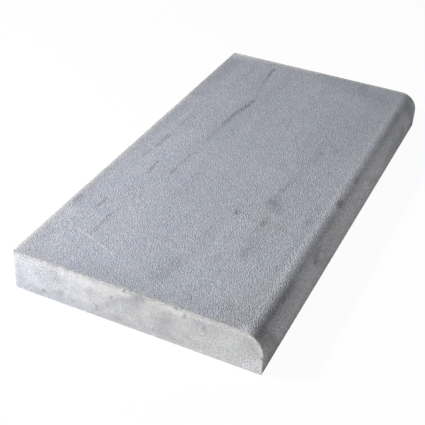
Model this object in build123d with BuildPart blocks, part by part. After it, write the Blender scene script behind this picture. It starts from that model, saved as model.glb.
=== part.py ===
from build123d import *
import os

# Pool edge slab: one piece of marble, square along the back edge, with a half bullnose along the
# pool side. Millimetres, +Z up. The origin is the middle of the bed, X runs from the back edge to
# the nose and Y along the slab.

slab_length = 600.0
slab_width = 300.0
slab_thickness = 50.0
nose_radius = 25.0    # the roll from the tread down to the upright face of the nose
corner_round = 3.0    # upright corners at the back edge
tread_arris = 1.5     # eased arris round the tread and down both ends of the nose
bed_arris = 1.0       # eased arris round the bed

back_edge = -slab_width / 2
nose_edge = slab_width / 2
roll_start = slab_thickness - nose_radius    # height at which the nose's upright face ends

os.makedirs("parts", exist_ok=True)

with BuildPart() as coping_slab:
    # cross-section, seen along the slab
    with BuildSketch(Plane.XZ):
        with BuildLine():
            bed = Line((back_edge, 0), (nose_edge, 0))
            nose_face = Line(bed @ 1, (nose_edge, roll_start))
            nose_roll = JernArc(nose_face @ 1, (0, 1), nose_radius, 90)
            tread = Line(nose_roll @ 1, (back_edge, slab_thickness))
            Line(tread @ 1, bed @ 0)
        make_face()
    extrude(amount=slab_length / 2, both=True)

    # upright corners of the back edge
    fillet(coping_slab.edges().filter_by(Axis.Z).group_by(Axis.X)[0], corner_round)

    # one arris runs up the end of the nose, round the tread and down the nose's other end
    tread_outline = coping_slab.faces().sort_by(Axis.Z)[-1].edges()
    roll_line = tread_outline.filter_by(Axis.Y).sort_by(Axis.X)[-1:]
    nose_arcs = coping_slab.edges().filter_by(GeomType.CIRCLE).filter_by(Plane.XZ)
    nose_uprights = coping_slab.edges().filter_by(Axis.Z).group_by(Axis.X)[-1]
    fillet(tread_outline - roll_line + nose_arcs + nose_uprights, tread_arris)

    # arris round the bed
    fillet(coping_slab.faces().sort_by(Axis.Z)[0].edges(), bed_arris)

coping_slab.part.label = "coping_slab"
export_step(coping_slab.part, "parts/coping_slab.step")
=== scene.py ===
import bmesh
import bpy
import math
import random
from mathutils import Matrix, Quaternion, Vector, noise


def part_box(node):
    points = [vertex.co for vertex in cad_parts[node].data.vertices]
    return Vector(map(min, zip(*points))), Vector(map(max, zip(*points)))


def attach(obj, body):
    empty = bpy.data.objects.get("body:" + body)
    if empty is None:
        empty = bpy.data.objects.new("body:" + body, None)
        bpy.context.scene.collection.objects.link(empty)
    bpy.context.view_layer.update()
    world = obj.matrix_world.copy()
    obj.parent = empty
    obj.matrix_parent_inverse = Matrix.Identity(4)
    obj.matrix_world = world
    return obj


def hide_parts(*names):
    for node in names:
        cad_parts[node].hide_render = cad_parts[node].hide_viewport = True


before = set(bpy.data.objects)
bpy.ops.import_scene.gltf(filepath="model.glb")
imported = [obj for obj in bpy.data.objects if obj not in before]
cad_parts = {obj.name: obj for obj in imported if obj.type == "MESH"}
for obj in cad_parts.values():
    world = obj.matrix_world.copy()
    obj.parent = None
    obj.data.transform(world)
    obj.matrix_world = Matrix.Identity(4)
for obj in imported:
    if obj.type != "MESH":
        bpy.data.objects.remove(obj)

# A pool edge slab in one piece of bluish grey marble. Tread and nose are sandblasted; the ends, the
# back edge and the bed are as the saw left them. X runs from the back edge to the nose, Y from the
# near end to the far one, Z up. Lengths are in metres, and marks on the stone in millimetres.

low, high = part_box("coping_slab")
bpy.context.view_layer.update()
mm = 0.001


# Small tools

def linearFromHex(hexColour):
    # an sRGB hex colour by the standard's curve, with full alpha
    channels = [int(hexColour[start:start + 2], 16) / 255 for start in (1, 3, 5)]
    linear = [c / 12.92 if c <= 0.04045 else ((c + 0.055) / 1.055) ** 2.4 for c in channels]
    return (*linear, 1.0)


def addNode(tree, kind, inputs=None, out=None, **settings):
    # makes a node, gives it settings, values, hex colours and links, and hands back one of its outputs
    node = tree.nodes.new("ShaderNode" + kind)
    for name, value in settings.items():
        setattr(node, name, value)
    for name, value in (inputs or {}).items():
        if isinstance(name, int):
            socket = node.inputs[name]
        else:
            socket = next(s for s in node.inputs if s.name == name and s.enabled)
        if isinstance(value, bpy.types.NodeSocket):
            tree.links.new(value, socket)
        elif isinstance(value, str):
            socket.default_value = linearFromHex(value)
        else:
            socket.default_value = value
    return next((s for s in node.outputs if s.enabled and out in (None, s.name)), None)


def smoothFall(distance, reach):
    # 1 at no distance, falling softly to 0 at the reach
    share = max(0.0, 1 - distance / reach)
    return share * share * (3 - 2 * share)


# The slab's body

slabShape = {
    "noseRadius": 25 * mm,      # the tread rolls down over half the thickness
    "noseFlats": 20,            # steps round that quarter circle
    "cornerRound": 3 * mm,      # upright corners at the back edge
    "cornerFlats": 4,
    "arris": 0.7 * mm,          # eased edge between two faces
    "arrisFlats": 2,
    "arrisAngle": math.radians(40),    # an edge that turns further than this is an arris
    "gridStep": 5 * mm,         # spacing of the cuts over the faces
    "mergeWithin": 1e-6,        # a cut passes through a corner that lies this close to it
    "bedBand": 4 * mm,          # cuts across the bed under the nose reach up to here
    "arrisBand": 6 * mm,        # beside the arrises the grid is cut finer
    "arrisCuts": 4,
}
noseAxis = Vector((high.x - slabShape["noseRadius"], 0, high.z - slabShape["noseRadius"]))


def faceDepths(point):
    # how deep a point lies under the back edge, the two ends, the bed, and the tread with the nose
    across, up = point.x - noseAxis.x, point.z - noseAxis.z
    if across > 0 and up > 0:
        worked = slabShape["noseRadius"] - math.hypot(across, up)
    else:
        worked = min(high.z - point.z, high.x - point.x)
    return sorted((point.x - low.x, point.y - low.y, high.y - point.y, point.z - low.z, worked))


def cutAcross(bm, axis, start, end, step, keep):
    # parallel cuts at even spacing through the faces that pass the test
    count = round((end - start) / step)
    for index in range(1, count):
        place = Vector((0, 0, 0))
        normal = Vector((0, 0, 0))
        place[axis] = start + (end - start) * index / count
        normal[axis] = 1
        faces = [f for f in bm.faces if keep(f.calc_center_median())]
        edges = {e for f in faces for e in f.edges}
        verts = {v for f in faces for v in f.verts}
        bmesh.ops.bisect_plane(bm, geom=[*verts, *edges, *faces], dist=slabShape["mergeWithin"],
                               plane_co=place, plane_no=normal)


def sawSlab():
    shape = slabShape
    bm = bmesh.new()

    # cross-section: the nose is one point spun a quarter turn, the other corners are square
    springing = bm.verts.new((high.x, low.y, noseAxis.z))
    spun = bmesh.ops.spin(bm, geom=[springing], cent=(noseAxis.x, low.y, noseAxis.z), axis=(0, -1, 0),
                          angle=math.pi / 2, steps=shape["noseFlats"], dvec=(0, 0, 0))
    rollTop = next(item for item in spun["geom_last"] if isinstance(item, bmesh.types.BMVert))
    corners = [(low.x, low.y, high.z), (low.x, low.y, low.z), (high.x, low.y, low.z)]
    chain = [rollTop, *[bm.verts.new(corner) for corner in corners], springing]
    for first, second in zip(chain, chain[1:]):
        bm.edges.new((first, second))
    section = bmesh.ops.edgeloop_fill(bm, edges=bm.edges[:])["faces"]

    # sawn to length
    farEnd = bmesh.ops.extrude_face_region(bm, geom=section)["geom"]
    farVerts = [item for item in farEnd if isinstance(item, bmesh.types.BMVert)]
    bmesh.ops.translate(bm, vec=(0, high.y - low.y, 0), verts=farVerts)
    bmesh.ops.recalc_face_normals(bm, faces=bm.faces[:])

    # upright corners of the back edge, then every arris
    uprights = [e for e in bm.edges if all(v.co.x < low.x + mm for v in e.verts)
                and abs(e.verts[0].co.z - e.verts[1].co.z) > mm]
    bmesh.ops.bevel(bm, geom=uprights, offset=shape["cornerRound"], offset_type="OFFSET",
                    segments=shape["cornerFlats"], profile=0.5, affect="EDGES", material=-1)
    sharp = [e for e in bm.edges if e.calc_face_angle() > shape["arrisAngle"]]
    bmesh.ops.bevel(bm, geom=sharp, offset=shape["arris"], offset_type="OFFSET",
                    segments=shape["arrisFlats"], profile=0.5, affect="EDGES", material=-1)

    # a grid over the faces; the round of the nose has its own flats and is cut only lengthways
    step = shape["gridStep"]
    cutAcross(bm, 0, low.x, noseAxis.x + step, step, lambda c: c.x < noseAxis.x + step)
    cutAcross(bm, 0, noseAxis.x, high.x, step, lambda c: c.z < low.z + shape["bedBand"])
    cutAcross(bm, 2, low.z, high.z, step, lambda c: c.x < noseAxis.x or c.z < noseAxis.z)
    cutAcross(bm, 1, low.y, high.y, step, lambda c: True)

    # finer cuts in a band along the arrises, which carry the wear
    band = [e for e in bm.edges if all(faceDepths(v.co)[1] < shape["arrisBand"] for v in e.verts)]
    bmesh.ops.subdivide_edges(bm, edges=band, cuts=shape["arrisCuts"], use_grid_fill=True)
    bmesh.ops.recalc_face_normals(bm, faces=bm.faces[:])
    return bm


# Wear and damage

wear = {
    "ease": 0.22 * mm,          # how far an arris is rubbed down
    "easeReach": 2.0 * mm,
    "easeGrain": 6 * mm,        # length of the worn and the crisp stretches
    "easeOctaves": (0.9, 2.1, 3),    # how fast they weaken, their spacing and their number
    "easeMore": 0.35,           # more of the arris is worn than crisp
    "sway": 0.10 * mm,          # slow waviness of the faces
    "swayGrain": 55 * mm,
    "swayFades": 4 * mm,        # and it fades out this close to an arris
    "chipRough": 0.05,          # unevenness of a break, as a share of its radius
    "freshFrom": 0.3 * mm,      # a break looks as fresh as it is from this depth on
    "arrisGap": 0.41,           # from a square corner to its rounding, as a share of the arris
    "spallCount": 60,           # small spalls scattered along the arrises
    "spallSizes": (0.8 * mm, 2.2 * mm),
    "spallDepth": 0.20,         # how far a spall reaches in, as a share of its radius
    "spallFresh": (0.3, 1.0),
    "seed": 7,
}

# Chips placed as in the photo: where, in millimetres from the back edge, the near end and the bed,
# then radius, depth and how fresh the break looks
chips = [
    ((0, 0, 0), 7.0, 2.2, 0.2),
    ((0, 0, 50), 3.0, 0.4, 0.5),
    ((28, 0, 50), 7.0, 0.5, 0.5),
    ((42, 0, 50), 4.0, 0.7, 0.6),
    ((61, 0, 50), 6.0, 0.8, 0.6),
    ((87, 0, 50), 4.0, 0.7, 0.8),
    ((112, 0, 50), 9.0, 0.7, 0.8),
    ((137, 0, 50), 4.5, 1.0, 1.0),
    ((142, 0, 50), 2.6, 1.2, 0.0),
    ((163, 0, 50), 10.0, 0.9, 0.4),
    ((182, 0, 50), 9.0, 1.0, 0.8),
    ((202, 0, 50), 4.0, 1.2, 0.1),
    ((226, 0, 50), 6.0, 0.6, 0.7),
    ((252, 0, 50), 5.0, 0.5, 0.9),
    ((300, 0, 22), 2.6, 0.9, 0.0),
    ((0, 600, 50), 8.0, 1.8, 0.2),
]


def onArris(rng):
    # a random point on an arris, each as likely as it is long, and the way out of the stone there
    width, length, height = high - low
    runs = [
        ((low.x, None, high.z), (-1, 0, 1), length), ((low.x, None, low.z), (-1, 0, -1), length),
        ((high.x, None, low.z), (1, 0, -1), length), ((None, low.y, high.z), (0, -1, 1), width),
        ((None, high.y, high.z), (0, 1, 1), width), ((None, low.y, low.z), (0, -1, -1), width),
        ((None, high.y, low.z), (0, 1, -1), width), ((high.x, low.y, None), (1, -1, 0), height),
        ((high.x, high.y, None), (1, 1, 0), height),
    ]
    line, outwards, _ = rng.choices(runs, weights=[run[2] for run in runs])[0]
    place = Vector([rng.uniform(low[i], high[i]) if line[i] is None else line[i] for i in range(3)])
    return place, Vector(outwards).normalized()


def wayOut(place):
    # out of the stone at a point on an arris or a corner: along the faces that it lies on
    middle = (low + high) / 2
    steps = []
    for i in range(3):
        onFace = min(place[i] - low[i], high[i] - place[i]) < mm
        steps.append(math.copysign(1, place[i] - middle[i]) if onFace else 0)
    return Vector(steps).normalized()


def wearSlab(bm):
    rng = random.Random(wear["seed"])
    scoops = []
    for place, radius, depth, fresh in chips:
        centre = low + Vector(place) * mm
        scoops.append((centre, wayOut(centre), radius * mm, depth * mm, fresh))
    for _ in range(wear["spallCount"]):
        place, outwards = onArris(rng)
        radius = rng.uniform(*wear["spallSizes"])
        fresh = rng.uniform(*wear["spallFresh"])
        scoops.append((place, outwards, radius, radius * wear["spallDepth"], fresh))

    worn = bm.verts.layers.float.new("worn")
    bm.normal_update()
    for vert in bm.verts:
        arris = faceDepths(vert.co)[1]
        ragged = noise.fractal(vert.co / wear["easeGrain"], *wear["easeOctaves"])
        rub = wear["ease"] * max(0.0, wear["easeMore"] + ragged) * smoothFall(arris, wear["easeReach"])
        swell = 0.5 + 0.5 * noise.noise(vert.co / wear["swayGrain"])    # from 0 to 1
        vert[worn] = min(1.0, rub / wear["ease"])
        vert.co -= vert.normal * (rub + wear["sway"] * swell * min(1.0, arris / wear["swayFades"]))

    for centre, outwards, radius, depth, fresh in scoops:
        # the ball that scoops the chip out hangs outside the arris and bites in by the depth, which
        # is counted from the rounding of the arris; it only ever takes stone away
        ball = centre + outwards * (radius - depth - slabShape["arris"] * wear["arrisGap"])
        for vert in bm.verts:
            away = vert.co - ball
            reach = radius * (1 + wear["chipRough"] * noise.noise(vert.co / mm))
            bite = reach - away.length
            if bite > 0:
                vert.co = ball + away.normalized() * reach
                vert[worn] += (fresh - vert[worn]) * min(1.0, bite / wear["freshFrom"])


# The stone

stone = {
    "treadCool": "#A7AAB4",     # sandblasted marble, the bluish body
    "treadPale": "#AFB2BC",     # and its paler clouds
    "treadEdge": "#ACABAF",     # neutral where the rims were rubbed
    "paleFringeAndHighlight": "#CBC9C6",        # and paler still in the last few millimetres: rubbed, with a painted highlight along the arrises
    "noseRidgeHighlight": "#C8CAD2",     # painted highlight: the start of the roll is coloured paler, so that it stays light as it turns from the lamp
    "noseFacePaintedLight": "#CDCDD0",      # painted light: the nose is neutral and a little paler than the tread, standing in for the bounce light on its shaded side
    "sawnCool": "#D2D5DF",      # the same stone as sawn, less scattered and so paler
    "sawnWarm": "#D2D2D3",      # and neutral towards the nose
    "sawnGrey": "#BEBEC2",      # its grey clouds
    "backPaintedShade": "#A6A8B0",      # the back edge is painted a darker grey: painted shade on the face that the key lamp lights most
    "freshBreak": "#E4E2DA",    # rubbed and broken edges, where the crystals show cream white

    # sizes of the patterns, in millimetres
    "cloudSize": 70.0,
    "greySize": 22.0,
    "tintSize": 15.0,
    "streakSize": 13.0,
    "mottleSize": 9.0,
    "bendSize": 7.0,            # bends of the marks
    "gapSize": 4.0,             # and the gaps in them
    "fraySize": 3.0,            # fraying of the border between sawn and blasted stone
    "crystalSize": 1.05,        # real crystals are about 0.5; drawn this coarse so that they show
    "pitSize": 1.45,

    # directions: clouds and streaks are drawn out along the slab, a little askew, and the crystals
    # are turned so that no face lies in line with their pattern
    "cloudTurn": 0.04,
    "cloudStretch": 0.35,
    "streakTurn": 0.03,
    "streakStretch": 0.1,
    "crystalTurn": (0.5, 0.7, 0.3),

    # where each finish lies, in millimetres, and its share of the colour at its strongest
    "frayDepth": 1.1,           # how far the fraying moves the border
    "borderWidth": 1.2,         # and how wide the two finishes blend there
    "edgeBand": 16.0,           # rubbed tone along the rims of the tread
    "edgeShare": 0.85,
    "fringeBand": 4.0,          # paler fringe within it, partly painted highlight
    "fringeShare": 0.45,
    "ridgePlace": 6.0,          # middle of the painted highlight, past the start of the roll
    "ridgeBand": 7.5,
    "rollHeights": (49.0, 40.0),    # the tread's tone turns to the nose's from here to here
    "fadeAlong": (100.0, 300.0),    # the ridge's painted highlight and the nose's paler tone fade towards the far end
    "fadeShare": 0.5,
    "warmAcross": (-145.0, -5.0),   # sawn faces turn from bluish to neutral
    "evenAcross": (70.0, 110.0),    # and lose their grey clouds by the nose
    "backDepths": (0.3, 1.0),       # the back edge's painted shade ends this deep behind its face
    "backHeights": (47.0, 49.0),    # and here under its upper arris
    "backShadeShare": 0.9,
    "lipHeights": (46.5, 50.0),     # darker strip under the tread's arris
    "lipShare": 0.62,

    # levels of the noises and of the wear at which a tone starts and is full
    "greyStart": 0.46,
    "greyFull": (0.78, 1.6),    # by the back edge and by the nose
    "gapLevels": (0.4, 0.75),
    "wornLevels": (0.3, 1.0),
    "wornShare": 0.55,

    # how strongly the stone varies
    "tintSwing": (0.09, 0.06, 0.09),    # in red, green and blue
    "mottleShades": (0.93, 1.07),
    "treadCrystals": 0.55,      # how much lighter or darker one crystal is than the next
    "sawnCrystals": 0.28,
    "treadPits": 1.17 * mm,     # relief of the blast and of the saw, at the full swing of the noise,
    "sawnPits": 0.44 * mm,      # of which about a fifth is used
    "blastShares": (0.76, 1.12),    # the blast bit deeper by the nose than by the back edge
    "roughness": 0.85,
    "refraction": 1.5,
    "specular": 0.3,
}

# Marks in the stone, in millimetres from the back edge, the near end and the bed: from, to, width,
# and strength at each end. Each kind has its colour, how far its strokes wander, in millimetres, and
# how much of them the gaps take away.
veinMarks = {    # dark veins, broken into dashes
    "colour": "#5F5F6A", "wander": 5.5, "broken": 0.6,
    "strokes": [
        ((79, 575, 50), (80, 548, 50), 4.6, 0.55, 0.65),
        ((80, 548, 50), (83, 521, 50), 4.6, 0.65, 0.40),
        ((83, 521, 50), (91, 462, 50), 3.5, 0.25, 0.15),
        ((92, 459, 50), (90, 440, 50), 6.5, 0.55, 0.65),
        ((90, 442, 50), (85, 412, 50), 5.0, 0.65, 0.55),
        ((85, 412, 50), (83, 375, 50), 5.0, 0.55, 0.45),
        ((83, 375, 50), (81, 258, 50), 3.5, 0.16, 0.07),
        ((51, 243, 50), (53, 215, 50), 4.2, 0.50, 0.40),
        ((79, 242, 50), (78, 227, 50), 4.2, 0.50, 0.45),
        ((80, 275, 50), (80, 256, 50), 4.0, 0.25, 0.25),
        ((96, 222, 50), (95, 190, 50), 3.0, 0.16, 0.06),
        ((37, 139, 50), (37, 119, 50), 4.0, 0.50, 0.42),
        ((37, 119, 50), (34, 84, 50), 3.0, 0.22, 0.10),
        ((58, 112, 50), (59, 76, 50), 3.6, 0.36, 0.42),
        ((59, 76, 50), (57, 17, 50), 3.0, 0.18, 0.06),
        ((50, 567, 50), (49, 517, 50), 4.0, 0.22, 0.14),
        ((34, 376, 50), (33, 342, 50), 4.5, 0.18, 0.32),
        ((32, 310, 50), (31, 278, 50), 5.5, 0.44, 0.36),
        ((28, 264, 50), (27, 250, 50), 5.0, 0.26, 0.30),
        ((186, 190, 50), (187, 186, 50), 6.5, 0.90, 0.85),
        ((182, 208, 50), (186, 190, 50), 3.0, 0.16, 0.30),
        ((246, 386, 50), (246, 380, 50), 5.5, 0.32, 0.32),
        ((229, 368, 50), (229, 334, 50), 5.0, 0.18, 0.26),
        ((223, 306, 50), (217, 258, 50), 5.0, 0.10, 0.25),
        ((269, 213, 50), (269, 206, 50), 6.0, 0.28, 0.28),
        ((270, 204, 50), (271, 92, 50), 4.0, 0.08, 0.16),
        ((251, 31, 50), (250, 26, 50), 6.0, 0.28, 0.28),
        ((8, 130, 50), (7, 118, 50), 7.0, 0.28, 0.28),
        ((200, 190, 50), (212, 180, 50), 4.0, 0.25, 0.10),
        ((295, 176, 41), (297, 159, 38), 8.5, 0.45, 0.52),
        ((300, 514, 33), (300, 532, 8), 7.0, 0.35, 0.25),
    ],
}
purpleMarks = {    # purplish smudges in the veins
    "colour": "#6B5C6B", "wander": 3.0, "broken": 0.3,
    "strokes": [
        ((215, 229, 50), (221, 226, 50), 13.0, 0.62, 0.56),
        ((216, 230, 50), (224, 217, 50), 20.0, 0.34, 0.32),
        ((217, 264, 50), (215, 236, 50), 7.0, 0.10, 0.28),
        ((215, 226, 50), (218, 208, 50), 6.0, 0.35, 0.10),
        ((221, 590, 50), (221, 562, 50), 12.0, 0.22, 0.10),
        ((223, 194, 50), (223, 180, 50), 6.0, 0.34, 0.40),
        ((290, 0, 45), (291, 96, 43), 8.5, 0.34, 0.24),
        ((299, 22, 32), (300, 42, 8), 10.0, 0.40, 0.34),
        ((298, 160, 35), (300, 206, 8), 9.0, 0.34, 0.28),
        ((289, 336, 46), (289, 328, 46), 6.0, 0.35, 0.35),
        ((299, 366, 31), (300, 402, 12), 8.0, 0.32, 0.28),
        ((289, 535, 46), (289, 515, 46), 7.0, 0.25, 0.25),
        ((300, 526, 32), (300, 545, 10), 6.0, 0.50, 0.45),
    ],
}
rustMarks = {    # faint rust
    "colour": "#8A7A74", "wander": 3.0, "broken": 0.5,
    "strokes": [
        ((223, 184, 50), (222, 165, 50), 7.0, 0.42, 0.38),
        ((225, 127, 50), (226, 116, 50), 7.0, 0.36, 0.36),
        ((224, 150, 50), (225, 128, 50), 4.0, 0.10, 0.15),
        ((254, 179, 50), (260, 174, 50), 6.0, 0.24, 0.20),
    ],
}
warmClouds = {    # warmer grey
    "colour": "#A4A5A1", "wander": 14.0, "broken": 0.4,
    "strokes": [
        ((200, 208, 50), (226, 190, 50), 18.0, 0.34, 0.34),
        ((226, 190, 50), (250, 180, 50), 20.0, 0.34, 0.22),
        ((272, 70, 50), (262, 10, 50), 32.0, 0.30, 0.50),
        ((3, 80, 50), (2, 70, 50), 9.0, 0.50, 0.50),
        ((300, 70, 40), (300, 100, 36), 13.0, 0.25, 0.20),
        ((300, 210, 30), (300, 330, 26), 24.0, 0.20, 0.20),
    ],
}
darkCloudsAndFootShade = {    # soft darker grey, and painted shade along the foot of the nose
    "colour": "#868B96", "wander": 14.0, "broken": 0.4,
    "strokes": [
        ((165, 70, 50), (163, 36, 50), 20.0, 0.45, 0.45),
        ((150, 16, 50), (285, 16, 50), 26.0, 0.15, 0.30),
        ((230, 150, 50), (236, 120, 50), 24.0, 0.22, 0.22),
        ((12, 400, 50), (8, 260, 50), 15.0, 0.30, 0.15),
        ((14, 570, 50), (16, 440, 50), 18.0, 0.30, 0.26),
        ((6, 220, 50), (5, 130, 50), 12.0, 0.30, 0.25),
        ((250, 560, 50), (170, 585, 50), 28.0, 0.30, 0.30),
        ((204, 98, 50), (203, 92, 50), 9.0, 0.28, 0.28),
        ((92, 500, 50), (84, 330, 50), 10.0, 0.22, 0.20),
        ((66, 530, 50), (98, 480, 50), 30.0, 0.12, 0.16),
        ((226, 380, 50), (216, 240, 50), 10.0, 0.10, 0.22),
        ((296, 182, 39), (299, 200, 26), 8.0, 0.35, 0.15),
        ((20, 12, 50), (180, 14, 50), 22.0, 0.18, 0.27),
        ((4, 30, 50), (8, 150, 50), 26.0, 0.18, 0.14),
        ((298, 0, 38), (298, 150, 30), 30.0, 0.34, 0.10),
        # this stroke darkens the nose towards its foot by the near end
        ((300, 0, 6), (300, 110, 5), 11.0, 0.60, 0.12),
        ((298, 400, 33), (300, 520, 20), 12.0, 0.10, 0.38),
        ((299, 484, 36), (300, 516, 6), 14.0, 0.30, 0.40),
        ((283, 556, 49), (285, 600, 48), 10.0, 0.25, 0.40),
        ((300, 440, 26), (300, 530, 4), 15.0, 0.34, 0.36),
        ((299, 200, 34), (299, 216, 31), 13.0, 0.26, 0.22),
        ((300, 480, 32), (300, 512, 12), 9.0, 0.45, 0.45),
        ((297, 572, 38), (300, 592, 6), 20.0, 0.65, 0.65),
        # painted shade: a thin dark line along the foot of the nose, where it stands on the floor
        ((300, 0, 1), (300, 520, 1), 2.5, 0.60, 0.30),
    ],
}
darkPatches = {    # darker patches on the nose, and a darker line along its roll by the near end
    "colour": "#5C5B59", "wander": 6.0, "broken": 0.5,
    "strokes": [
        ((296, 10, 40), (300, 18, 12), 26.0, 0.40, 0.46),
        ((290, 0, 45), (291, 70, 44), 7.5, 0.06, 0.16),
        ((291, 70, 44), (292, 110, 43), 7.5, 0.24, 0.10),
        ((288, 275, 46), (288, 267, 46), 8.0, 0.66, 0.66),
    ],
}
paleCloudsAndHighlight = {    # soft paler grey, and one painted highlight where the roll starts by the near end
    "colour": "#D6D8DE", "wander": 8.0, "broken": 0.4,
    "strokes": [
        ((15, 98, 50), (14, 68, 50), 13.0, 0.28, 0.26),
        ((2, 592, 50), (36, 594, 50), 26.0, 0.42, 0.25),
        ((295, 255, 42), (298, 420, 32), 26.0, 0.50, 0.38),
        # painted highlight where the roll starts, by the near end
        ((277, 3, 50), (286, 4, 48), 12.0, 0.60, 0.50),
        ((60, 330, 50), (50, 300, 50), 22.0, 0.12, 0.08),
    ],
}
rubbedRimsAndHighlight = {    # rims of the tread, rubbed paler, with painted highlight along the back and far arrises
    "colour": "#DBDAD7", "wander": 2.0, "broken": 0.3,
    "strokes": [
        ((0, 8, 50), (0, 430, 50), 8.0, 0.55, 0.60),
        ((0, 430, 50), (0, 590, 50), 5.0, 0.30, 0.10),
        ((8, 600, 50), (140, 600, 50), 13.0, 1.00, 0.80),
        ((140, 600, 50), (276, 600, 50), 10.0, 0.40, 0.25),
    ],
}
scratches = {    # one long scratch over the tread
    "colour": "#DFE1E6", "wander": 0.5, "broken": 0.4,
    "strokes": [
        ((39, 71, 50), (70, 60, 50), 1.5, 0.55, 0.45),
        ((70, 60, 50), (100, 47, 50), 1.5, 0.45, 0.55),
    ],
}
endPale = {    # white clouds in the near end
    "colour": "#E9EAEE", "wander": 10.0, "broken": 0.4,
    "strokes": [
        ((3, 0, 42), (30, 0, 42), 13.0, 0.60, 0.60),
        ((64, 0, 42), (120, 0, 40), 12.0, 0.62, 0.45),
        ((70, 0, 30), (90, 0, 28), 8.0, 0.40, 0.30),
        ((198, 0, 46), (208, 0, 46), 6.0, 0.40, 0.40),
        ((294, 0, 14), (282, 0, 4), 11.0, 0.50, 0.40),
        ((262, 0, 20), (294, 0, 8), 26.0, 0.06, 0.28),
    ],
}
endGreys = {    # grey clouds in the near end, and a darker band along its foot
    "colour": "#9F9FA7", "wander": 8.0, "broken": 0.6,
    "strokes": [
        ((164, 0, 46), (130, 0, 32), 11.0, 0.50, 0.45),
        ((130, 0, 30), (107, 0, 9), 8.0, 0.45, 0.55),
        ((192, 0, 34), (184, 0, 4), 14.0, 0.34, 0.38),
        ((228, 0, 40), (242, 0, 30), 10.0, 0.42, 0.34),
        ((214, 0, 15), (228, 0, 10), 9.0, 0.30, 0.30),
        ((6, 0, 16), (16, 0, 8), 8.0, 0.30, 0.25),
        # these three strokes darken the end along its foot
        ((4, 0, 7), (22, 0, 5), 11.0, 0.40, 0.50),
        ((22, 0, 4), (60, 0, 5), 11.0, 0.55, 0.45),
        ((60, 0, 6), (150, 0, 4), 12.0, 0.45, 0.35),
        ((150, 0, 24), (165, 0, 8), 14.0, 0.50, 0.42),
        ((74, 0, 9), (88, 0, 5), 12.0, 0.55, 0.48),
        ((284, 0, 34), (292, 0, 26), 12.0, 0.22, 0.30),
        ((194, 0, 7), (208, 0, 5), 10.0, 0.35, 0.35),
        ((236, 0, 46), (248, 0, 26), 11.0, 0.24, 0.24),
        ((36, 0, 30), (46, 0, 22), 12.0, 0.22, 0.22),
        ((57, 0, 38), (50, 0, 26), 9.0, 0.26, 0.24),
        ((132, 0, 12), (140, 0, 8), 7.0, 0.30, 0.30),
    ],
}
endSpots = {    # small dark spots and notches there
    "colour": "#85838F", "wander": 5.0, "broken": 0.3,
    "strokes": [
        ((160, 0, 46), (155, 0, 42), 8.0, 0.18, 0.20),
        ((212, 0, 45), (212, 0, 41), 3.4, 0.55, 0.55),
        ((234, 0, 37), (234, 0, 35), 2.8, 0.50, 0.50),
        ((52, 0, 13), (63, 0, 15), 5.0, 0.35, 0.55),
        ((38, 0, 10), (40, 0, 9), 4.0, 0.62, 0.62),
        ((190, 0, 30), (190, 0, 27), 3.0, 0.10, 0.10),
        ((128, 0, 9), (138, 0, 7), 2.6, 0.45, 0.40),
        ((126, 0, 36), (125, 0, 33), 2.6, 0.45, 0.40),
        ((176, 0, 9), (176, 0, 7), 2.6, 0.45, 0.45),
        ((107, 0, 14), (106, 0, 10), 4.0, 0.45, 0.45),
        ((141, 0, 49), (141, 0, 48), 2.6, 0.80, 0.80),
        ((202, 0, 50), (203, 0, 49), 2.4, 0.75, 0.75),
        ((298, 0, 23), (299, 0, 22), 2.4, 0.85, 0.85),
    ],
}
arrisHighlightsAndPale = {    # painted highlight: pale bands along the near end's upper arris and down the outline of the nose, where the arris catches the light; the last two strokes are faint pale clouds lower in the end
    "colour": "#EFEDE4", "wander": 5.0, "broken": 0.6,
    "strokes": [
        ((28, 0, 46), (88, 0, 46), 4.5, 0.30, 0.32),
        ((88, 0, 45), (102, 0, 43), 8.0, 0.50, 0.45),
        ((116, 0, 45), (144, 0, 45), 7.0, 0.40, 0.36),
        ((168, 0, 45), (206, 0, 45), 6.0, 0.45, 0.46),
        ((206, 0, 47), (272, 0, 47), 4.5, 0.45, 0.45),
        ((278, 0, 49), (291, 0, 43), 4.5, 0.50, 0.55),
        ((291, 0, 43), (298, 0, 33), 4.5, 0.50, 0.35),
        ((298, 0, 33), (299, 0, 5), 5.0, 0.25, 0.60),
        ((230, 0, 30), (262, 0, 26), 12.0, 0.10, 0.22),
        ((150, 0, 24), (166, 0, 12), 12.0, 0.12, 0.10),
    ],
}
# the marks of the blasted faces and of the sawn ones, each laid over those before it
treadMarks = [darkCloudsAndFootShade, warmClouds, paleCloudsAndHighlight, rubbedRimsAndHighlight, darkPatches, veinMarks, purpleMarks,
              rustMarks, scratches]
endMarks = [endPale, endGreys, arrisHighlightsAndPale, endSpots]


def strokeMask(tree, place, strokes):
    # Soft strokes from one point to another, strongest along the middle. The fall isn't clamped: it
    # needs no clamp, and one would be a hidden node that makes the shader too big to render.
    mask = None
    for start, end, width, strengthAtStart, strengthAtEnd in strokes:
        first = Vector(start) + low / mm
        run = Vector(end) - Vector(start)
        away = addNode(tree, "VectorMath", {0: place, 1: first}, operation="SUBTRACT")
        along = addNode(tree, "VectorMath", {0: away, 1: run / run.length_squared}, out="Value",
                        operation="DOT_PRODUCT")
        along = addNode(tree, "Clamp", {"Value": along})
        foot = addNode(tree, "VectorMath", {0: run, "Scale": along}, operation="SCALE")
        reach = addNode(tree, "VectorMath", {0: away, 1: foot}, out="Value", operation="DISTANCE")
        change = strengthAtEnd - strengthAtStart
        strength = addNode(tree, "Math", {0: along, 1: change, 2: strengthAtStart},
                           operation="MULTIPLY_ADD")
        stroke = addNode(tree, "MapRange", {"Value": reach, "From Max": width,
                                            "To Min": strength, "To Max": 0.0},
                         interpolation_type="SMOOTHSTEP", clamp=False)
        mask = stroke if mask is None else addNode(tree, "Math", {0: mask, 1: stroke}, operation="MAXIMUM")
    return mask


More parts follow.
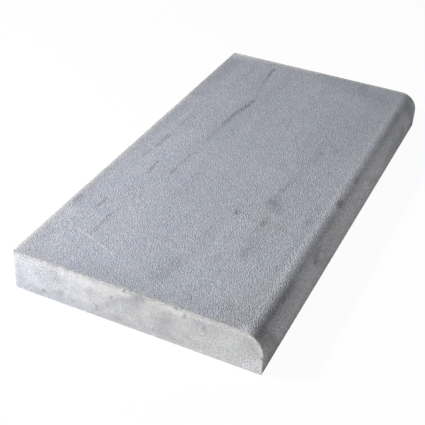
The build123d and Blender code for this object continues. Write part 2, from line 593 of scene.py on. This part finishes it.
def noiseAt(tree, place, size, detail, lowest=0.3, highest=0.7):
    # noise of a size in millimetres, with its levels from lowest to highest spread over 0 to 1
    value = addNode(tree, "TexNoise", {"Vector": place, "Scale": 1 / size, "Detail": detail})
    return addNode(tree, "MapRange", {"Value": value, "From Min": lowest, "From Max": highest})


def marble():
    # Fine-grained marble. The blast leaves matt, pitted crystals that scatter light and look dusty;
    # a sawn face is smoother and paler, and a rubbed or chipped arris is nearly white.
    material = bpy.data.materials.new("marble")
    material.use_nodes = True
    tree = material.node_tree
    tree.nodes.clear()
    place = addNode(tree, "TexCoord", out="Object")
    place = addNode(tree, "VectorMath", {0: place, "Scale": 1 / mm}, operation="SCALE")    # millimetres
    xyz = addNode(tree, "SeparateXYZ", {0: place}).node.outputs

    # distances from the faces that the saw left: both ends, the back edge and the bed
    lengthways = addNode(tree, "Math", {0: xyz["Y"]}, operation="ABSOLUTE")
    fromEnd = addNode(tree, "Math", {0: high.y / mm, 1: lengthways}, operation="SUBTRACT")
    fromBack = addNode(tree, "Math", {0: xyz["X"], 1: low.x / mm}, operation="SUBTRACT")
    fromBed = addNode(tree, "Math", {0: xyz["Z"], 1: low.z / mm}, operation="SUBTRACT")
    fromRim = addNode(tree, "Math", {0: fromEnd, 1: fromBack}, operation="MINIMUM")
    nearest = addNode(tree, "Math", {0: fromRim, 1: fromBed}, operation="MINIMUM")
    frayed = noiseAt(tree, place, stone["fraySize"], detail=3.0)
    border = addNode(tree, "Math", {0: frayed, 1: -stone["frayDepth"], 2: nearest}, operation="MULTIPLY_ADD")
    isSawn = addNode(tree, "MapRange", {"Value": border, "From Max": stone["borderWidth"],
                                        "To Min": 1.0, "To Max": 0.0})

    # tread, with slow clouds drawn out along the slab as the bedding is, and paler rims, rubbed and with
    # painted highlight by the arrises
    bedding = addNode(tree, "Mapping", {"Vector": place, "Rotation": (0, 0, stone["cloudTurn"]),
                                        "Scale": (1, stone["cloudStretch"], 1)})
    clouds = noiseAt(tree, bedding, stone["cloudSize"], detail=4.0)
    tread = addNode(tree, "Mix", {"Factor": clouds, "A": stone["treadCool"], "B": stone["treadPale"]},
                    data_type="RGBA")
    rubbed = addNode(tree, "MapRange", {"Value": fromRim, "From Max": stone["edgeBand"],
                                        "To Min": stone["edgeShare"], "To Max": 0.0},
                     interpolation_type="SMOOTHSTEP")
    tread = addNode(tree, "Mix", {"Factor": rubbed, "A": tread, "B": stone["treadEdge"]}, data_type="RGBA")
    paleFringeAndHighlight = addNode(tree, "MapRange", {"Value": fromRim, "From Max": stone["fringeBand"],
                                        "To Min": stone["fringeShare"], "To Max": 0.0})
    tread = addNode(tree, "Mix", {"Factor": paleFringeAndHighlight, "A": tread, "B": stone["paleFringeAndHighlight"]}, data_type="RGBA")

    # nose: a painted highlight where the roll starts, and below it a neutral face painted paler, which
    # stands in for the light its shaded side lacks
    ridgeLine = noseAxis.x / mm + stone["ridgePlace"]
    fromRidge = addNode(tree, "Math", {0: xyz["X"], 1: ridgeLine}, operation="SUBTRACT")
    fromRidge = addNode(tree, "Math", {0: fromRidge}, operation="ABSOLUTE")
    ridgeHighlight = addNode(tree, "MapRange", {"Value": fromRidge, "From Max": stone["ridgeBand"],
                                       "To Min": 1.0, "To Max": 0.0}, interpolation_type="SMOOTHSTEP")
    fadeStart, fadeEnd = stone["fadeAlong"]
    fading = addNode(tree, "MapRange", {"Value": xyz["Y"], "From Min": fadeStart, "From Max": fadeEnd,
                                        "To Min": 1.0, "To Max": stone["fadeShare"]})
    ridgeHighlight = addNode(tree, "Math", {0: ridgeHighlight, 1: fading}, operation="MULTIPLY")
    tread = addNode(tree, "Mix", {"Factor": ridgeHighlight, "A": tread, "B": stone["noseRidgeHighlight"]}, data_type="RGBA")
    # painted light: the nose is coloured paler and neutral where it turns away from the key lamp
    rollStart, rollEnd = stone["rollHeights"]
    paintedNoseLight = addNode(tree, "MapRange", {"Value": fromBed, "From Min": rollStart, "From Max": rollEnd},
                     interpolation_type="SMOOTHSTEP")
    paintedNoseLight = addNode(tree, "Math", {0: paintedNoseLight, 1: fading}, operation="MULTIPLY")
    tread = addNode(tree, "Mix", {"Factor": paintedNoseLight, "A": tread, "B": stone["noseFacePaintedLight"]}, data_type="RGBA")

    # sawn faces: bluish towards the back edge and neutral towards the nose, with grey clouds
    coolEnd, warmStart = stone["warmAcross"]
    drift = addNode(tree, "MapRange", {"Value": xyz["X"], "From Min": coolEnd, "From Max": warmStart})
    sawn = addNode(tree, "Mix", {"Factor": drift, "A": stone["sawnCool"], "B": stone["sawnWarm"]},
                   data_type="RGBA")
    greys = addNode(tree, "TexNoise", {"Vector": place, "Scale": 1 / stone["greySize"], "Detail": 5.0,
                                       "Roughness": 0.65})
    evenStart, evenEnd = stone["evenAcross"]
    greyAtBack, greyAtNose = stone["greyFull"]
    even = addNode(tree, "MapRange", {"Value": xyz["X"], "From Min": evenStart, "From Max": evenEnd,
                                      "To Min": greyAtBack, "To Max": greyAtNose})
    greys = addNode(tree, "MapRange", {"Value": greys, "From Min": stone["greyStart"], "From Max": even})
    sawn = addNode(tree, "Mix", {"Factor": greys, "A": sawn, "B": stone["sawnGrey"]}, data_type="RGBA")

    # the back edge has painted shade, a darker grey, up to its arris, and the rim under the tread is darker
    backStart, backEnd = stone["backDepths"]
    backShade = addNode(tree, "MapRange", {"Value": fromBack, "From Min": backStart, "From Max": backEnd,
                                      "To Min": 1.0, "To Max": 0.0})
    backTop, backRim = stone["backHeights"]
    belowRim = addNode(tree, "MapRange", {"Value": fromBed, "From Min": backTop, "From Max": backRim,
                                          "To Min": stone["backShadeShare"], "To Max": 0.0})
    backShade = addNode(tree, "Math", {0: backShade, 1: belowRim}, operation="MULTIPLY")
    sawn = addNode(tree, "Mix", {"Factor": backShade, "A": sawn, "B": stone["backPaintedShade"]}, data_type="RGBA")
    lipStart, lipEnd = stone["lipHeights"]
    lip = addNode(tree, "MapRange", {"Value": fromBed, "From Min": lipStart, "From Max": lipEnd,
                                     "To Max": stone["lipShare"]})
    sawn = addNode(tree, "Mix", {"Factor": lip, "A": sawn, "B": stone["treadEdge"]}, data_type="RGBA")

    # both finishes together, and over them the worn arrises and breaks
    colour = addNode(tree, "Mix", {"Factor": isSawn, "A": tread, "B": sawn}, data_type="RGBA")
    wornStart, wornEnd = stone["wornLevels"]
    worn = addNode(tree, "Attribute", out="Fac", attribute_name="worn")
    worn = addNode(tree, "MapRange", {"Value": worn, "From Min": wornStart, "From Max": wornEnd,
                                      "To Max": stone["wornShare"]})
    colour = addNode(tree, "Mix", {"Factor": worn, "A": colour, "B": stone["freshBreak"]}, data_type="RGBA")

    # marks wander a little and break up
    sway = addNode(tree, "TexNoise", {"Vector": place, "Scale": 1 / stone["bendSize"], "Detail": 2.0},
                   out="Color")
    sway = addNode(tree, "VectorMath", {0: sway, 1: (0.5, 0.5, 0.5)}, operation="SUBTRACT")
    gaps = noiseAt(tree, place, stone["gapSize"], 2.0, *stone["gapLevels"])
    isWorked = addNode(tree, "Math", {0: 1.0, 1: isSawn}, operation="SUBTRACT")
    for marksThere, surface in ((treadMarks, isWorked), (endMarks, isSawn)):
        for marks in marksThere:
            bent = addNode(tree, "VectorMath", {0: sway, 1: (marks["wander"],) * 3, 2: place},
                           operation="MULTIPLY_ADD")
            share = strokeMask(tree, bent, marks["strokes"])
            kept = addNode(tree, "MapRange", {"Value": gaps, "To Min": 1.0, "To Max": 1.0 - marks["broken"]})
            share = addNode(tree, "Math", {0: share, 1: kept}, operation="MULTIPLY")
            share = addNode(tree, "Math", {0: share, 1: surface}, operation="MULTIPLY")
            colour = addNode(tree, "Mix", {"Factor": share, "A": colour, "B": marks["colour"]},
                             data_type="RGBA")

    # mottle, streaks and crystals lighten and darken what is there, and the tint shifts a little
    swing = stone["tintSwing"]
    tint = addNode(tree, "TexNoise", {"Vector": place, "Scale": 1 / stone["tintSize"], "Detail": 2.0},
                   out="Color")
    tint = addNode(tree, "VectorMath", {0: tint, 1: swing, 2: [1 - part / 2 for part in swing]},
                   operation="MULTIPLY_ADD")
    colour = addNode(tree, "VectorMath", {0: colour, 1: tint}, operation="MULTIPLY")
    drawnOut = addNode(tree, "Mapping", {"Vector": place, "Rotation": (0, 0, stone["streakTurn"]),
                                         "Scale": (1, stone["streakStretch"], 1)})
    streaks = noiseAt(tree, drawnOut, stone["streakSize"], detail=3.0)
    mottle = noiseAt(tree, place, stone["mottleSize"], detail=3.0)
    mottle = addNode(tree, "Math", {0: mottle, 1: streaks}, operation="ADD")
    darkest, lightest = stone["mottleShades"]
    mottle = addNode(tree, "MapRange", {"Value": mottle, "From Max": 2.0, "To Min": darkest,
                                        "To Max": lightest})
    turned = addNode(tree, "Mapping", {"Vector": place, "Rotation": stone["crystalTurn"]})
    crystals = addNode(tree, "TexVoronoi", {"Vector": turned, "Scale": 1 / stone["crystalSize"]},
                       out="Color")
    crystals = addNode(tree, "SeparateXYZ", {0: crystals}).node.outputs["X"]
    contrast = addNode(tree, "MapRange", {"Value": isSawn, "To Min": stone["treadCrystals"],
                                          "To Max": stone["sawnCrystals"]})
    shade = addNode(tree, "Math", {0: crystals, 1: 0.5}, operation="SUBTRACT")
    shade = addNode(tree, "Math", {0: shade, 1: contrast, 2: mottle}, operation="MULTIPLY_ADD")
    colour = addNode(tree, "VectorMath", {0: colour, "Scale": shade}, operation="SCALE")

    # pits of the blast, and the fainter marks of the saw
    pits = addNode(tree, "TexNoise", {"Vector": turned, "Scale": 1 / stone["pitSize"], "Detail": 0.0})
    depth = addNode(tree, "MapRange", {"Value": isSawn, "To Min": stone["treadPits"],
                                       "To Max": stone["sawnPits"]})
    biteAtBack, biteAtNose = stone["blastShares"]
    bite = addNode(tree, "MapRange", {"Value": xyz["X"], "From Min": low.x / mm, "From Max": high.x / mm,
                                      "To Min": biteAtBack, "To Max": biteAtNose})
    depth = addNode(tree, "Math", {0: depth, 1: bite}, operation="MULTIPLY")
    relief = addNode(tree, "Bump", {"Height": pits, "Distance": depth, "Strength": 1.0})
    surface = addNode(tree, "BsdfPrincipled", {"Base Color": colour, "Roughness": stone["roughness"],
                                               "IOR": stone["refraction"], "Normal": relief,
                                               "Specular IOR Level": stone["specular"]})
    addNode(tree, "OutputMaterial", {"Surface": surface})
    return material


evenUpTo = math.radians(18)    # shading stays smooth up to this, which keeps faces even by an arris


def finishPiece(name, bm, material):
    mesh = bpy.data.meshes.new(name)
    bm.to_mesh(mesh)
    bm.free()
    mesh.shade_smooth()
    mesh.set_sharp_from_angle(angle=evenUpTo)
    mesh.materials.append(material)
    piece = bpy.data.objects.new(name, mesh)
    bpy.context.scene.collection.objects.link(piece)
    return piece


print("slab: sawing it to shape")
slab = sawSlab()
print("slab: wearing and chipping it")
wearSlab(slab)
print("slab: mixing the marble")
stonePiece = finishPiece("stone_slab", slab, marble())
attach(stonePiece, "root")
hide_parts("coping_slab")
print("slab: faces", len(stonePiece.data.polygons))


# Studio

studio = {
    "floorSize": 8.0,
    "floorColour": "#FAFAFA",
    "floorWhite": 0.95,         # how much of the floor that the camera sees is plain white
    "worldLight": 0.12,
    "lampAim": (0, 0, 0.03),
    "keyPlace": (-1.10, -0.714, 0.948),
    "keySize": 0.12,
    "keyPower": 31.6,
    "fillPlace": (1.311, 0.0, 0.948),
    "fillSize": 0.8,
    "fillPower": 3.2,
}


def seenShare(tree, share):
    # how much of the plain white a ray takes: only what the camera, a reflection or glass looks at
    path = addNode(tree, "LightPath").node.outputs
    seen = addNode(tree, "Math", {0: path["Is Camera Ray"], 1: path["Is Glossy Ray"]}, operation="MAXIMUM")
    seen = addNode(tree, "Math", {0: seen, 1: path["Is Transmission Ray"]}, operation="MAXIMUM")
    return addNode(tree, "Math", {0: seen, 1: share}, operation="MULTIPLY")


def layFloor():
    bm = bmesh.new()
    bmesh.ops.create_grid(bm, x_segments=1, y_segments=1, size=studio["floorSize"] / 2)
    material = bpy.data.materials.new("studio_floor")
    material.use_nodes = True
    tree = material.node_tree
    tree.nodes.clear()
    paint = addNode(tree, "BsdfDiffuse", {"Color": studio["floorColour"]})
    white = addNode(tree, "Emission", {"Color": (1, 1, 1, 1), "Strength": 1.0})
    mixed = addNode(tree, "MixShader", {0: seenShare(tree, studio["floorWhite"]), 1: paint, 2: white})
    addNode(tree, "OutputMaterial", {"Surface": mixed})
    floor = finishPiece("studio_floor", bm, material)


def lightWorld():
    world = bpy.data.worlds.new("studio")
    bpy.context.scene.world = world
    world.use_nodes = True
    tree = world.node_tree
    tree.nodes.clear()
    light = addNode(tree, "Background", {"Color": (1, 1, 1, 1), "Strength": studio["worldLight"]})
    white = addNode(tree, "Background", {"Color": (1, 1, 1, 1), "Strength": 1.0})
    mixed = addNode(tree, "MixShader", {0: seenShare(tree, 1.0), 1: light, 2: white})
    addNode(tree, "OutputWorld", {"Surface": mixed})


def hangLight(name, place, size, power):
    lamp = bpy.data.lights.new(name, "AREA")
    lamp.size = size
    lamp.energy = power
    holder = bpy.data.objects.new(name, lamp)
    holder.location = place
    beam = Vector(studio["lampAim"]) - Vector(place)
    holder.rotation_euler = beam.to_track_quat("-Z", "Y").to_euler()
    bpy.context.scene.collection.objects.link(holder)


layFloor()
lightWorld()
hangLight("key", studio["keyPlace"], studio["keySize"], studio["keyPower"])
hangLight("fill", studio["fillPlace"], studio["fillSize"], studio["fillPower"])


# Camera

photoCamera = {
    "eye": (0.3553, -0.9225, 0.6454),
    "aim": (0.0114, -0.1266, 0.0500),
    "roll": math.radians(3.14),
    "lens": 75.53,
    "sensor": 36.0,
    "nearest": 0.05,
    "farthest": 30,
}


def placeCamera():
    data = bpy.data.cameras.new("camera")
    data.lens = photoCamera["lens"]
    data.sensor_width = photoCamera["sensor"]
    data.clip_start = photoCamera["nearest"]
    data.clip_end = photoCamera["farthest"]
    camera = bpy.data.objects.new("camera", data)
    eye = Vector(photoCamera["eye"])
    turn = (Vector(photoCamera["aim"]) - eye).to_track_quat("-Z", "Y")
    camera.location = eye
    camera.rotation_mode = "QUATERNION"
    camera.rotation_quaternion = turn @ Quaternion((0, 0, 1), photoCamera["roll"])
    bpy.context.scene.collection.objects.link(camera)
    bpy.context.scene.camera = camera


placeCamera()
bpy.context.scene.view_settings.view_transform = "Standard"
print("studio: floor, lights and camera are set")
